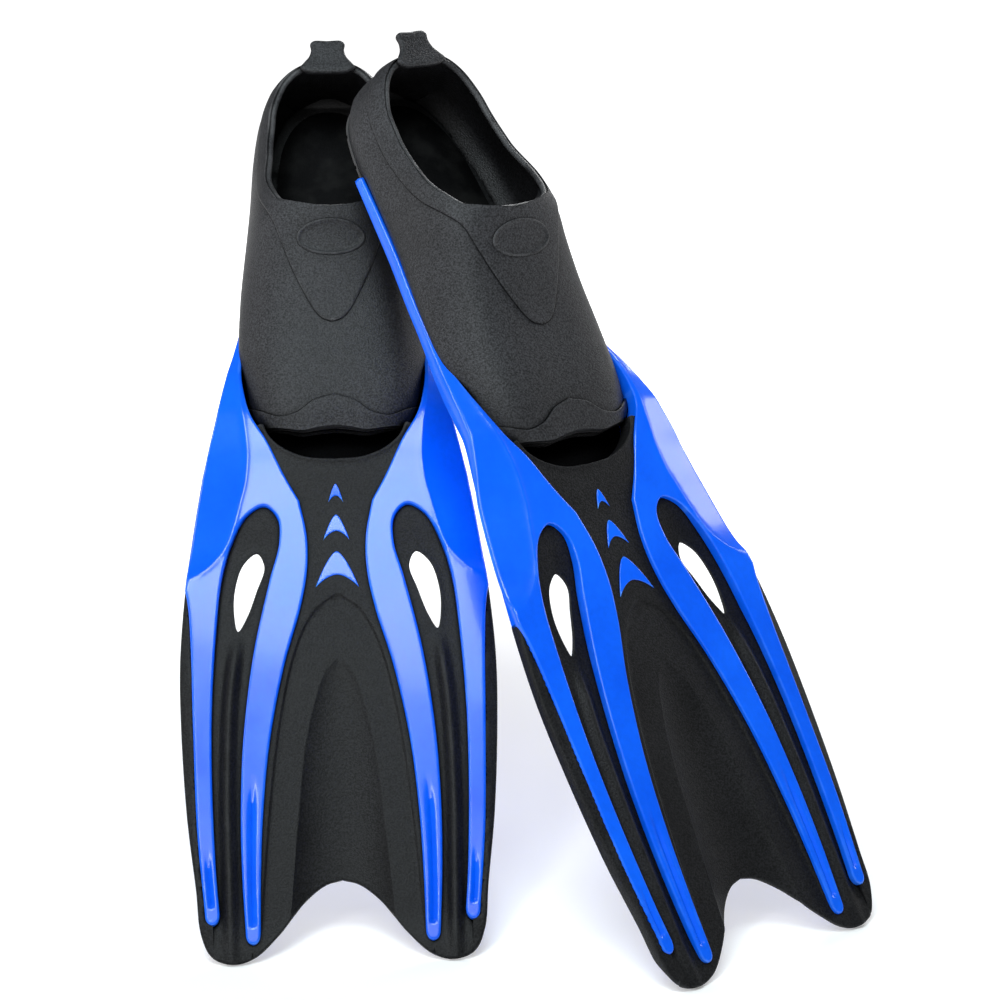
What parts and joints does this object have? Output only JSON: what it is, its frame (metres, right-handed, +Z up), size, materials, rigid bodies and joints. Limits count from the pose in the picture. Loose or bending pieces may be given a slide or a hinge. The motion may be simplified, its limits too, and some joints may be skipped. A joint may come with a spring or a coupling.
{
  "type": "pair of swim fins",
  "caption": "Pair of full-foot swim fins with soft black foot pockets and flexible blades stiffened by blue Y-shaped ribs.",
  "frame": {"origin": "floor level under the middle of the pair's bounding box", "axes": "+Z up; both fins stand on their blade tips and lean back towards +Y, tops of the blades facing -Y; +X is towards the right-hand fin"},
  "size_m": [0.4294, 0.4688, 0.5139],
  "materials": {
    "pocket_rubber": "matt, fine moulded grain",
    "trim_rubber": "matt, fine moulded grain",
    "insole_rubber": "matt",
    "sole_rubber": "matt, grooved",
    "blade_rubber": "satin, fine grain",
    "blue_plastic": "glossy, smooth moulded"
  },
  "bodies": {
    "left_foot": {"left_foot_pocket": "pocket_rubber", "left_collar": "trim_rubber", "left_rim_bead": "trim_rubber", "left_badge": "trim_rubber", "left_toe_band": "pocket_rubber", "left_footbed": "insole_rubber", "left_outsole": "sole_rubber", "left_sole_frame": "blue_plastic", "left_toe_bridge": "blade_rubber"},
    "left_blade": {"left_centre_panel": "blade_rubber", "left_fork_left": "blue_plastic", "left_fork_right": "blue_plastic", "left_channel_left": "blade_rubber", "left_channel_right": "blade_rubber", "left_edge_left": "blade_rubber", "left_edge_right": "blade_rubber", "left_chevrons": "blue_plastic"},
    "left_tab": {"left_heel_tab": "pocket_rubber"},
    "right_foot": {"right_foot_pocket": "pocket_rubber", "right_collar": "trim_rubber", "right_rim_bead": "trim_rubber", "right_badge": "trim_rubber", "right_toe_band": "pocket_rubber", "right_footbed": "insole_rubber", "right_outsole": "sole_rubber", "right_sole_frame": "blue_plastic", "right_toe_bridge": "blade_rubber"},
    "right_blade": {"right_centre_panel": "blade_rubber", "right_fork_left": "blue_plastic", "right_fork_right": "blue_plastic", "right_channel_left": "blade_rubber", "right_channel_right": "blade_rubber", "right_edge_left": "blade_rubber", "right_edge_right": "blade_rubber", "right_chevrons": "blue_plastic"},
    "right_tab": {"right_heel_tab": "pocket_rubber"}
  },
  "joints": [
    {"name": "left_blade_flex", "type": "hinge", "parent": "left_foot", "child": "left_blade", "pos_m": [-0.12128, 0.00107, 0.24713], "axis": [0.9981, 0.061, 0], "range_deg": [-15, 15], "stiffness_Nm_per_rad": 45},
    {"name": "left_tab_flex", "type": "hinge", "parent": "left_foot", "child": "left_tab", "pos_m": [-0.13284, 0.19008, 0.48292], "axis": [0.9981, 0.061, 0], "range_deg": [-30, 40], "stiffness_Nm_per_rad": 0.4},
    {"name": "right_blade_flex", "type": "hinge", "parent": "right_foot", "child": "right_blade", "pos_m": [0.0395, -0.04219, 0.25662], "axis": [0.788, 0.6157, 0], "range_deg": [-15, 15], "stiffness_Nm_per_rad": 45},
    {"name": "right_tab_flex", "type": "hinge", "parent": "right_foot", "child": "right_tab", "pos_m": [-0.06959, 0.09744, 0.50168], "axis": [0.788, 0.6157, 0], "range_deg": [-30, 40], "stiffness_Nm_per_rad": 0.4},
    {"name": "right_fin_apart", "type": "slide", "parent": "left_foot", "child": "right_foot", "axis": [1, 0, 0], "range_m": [0, 0.25]}
  ]
}
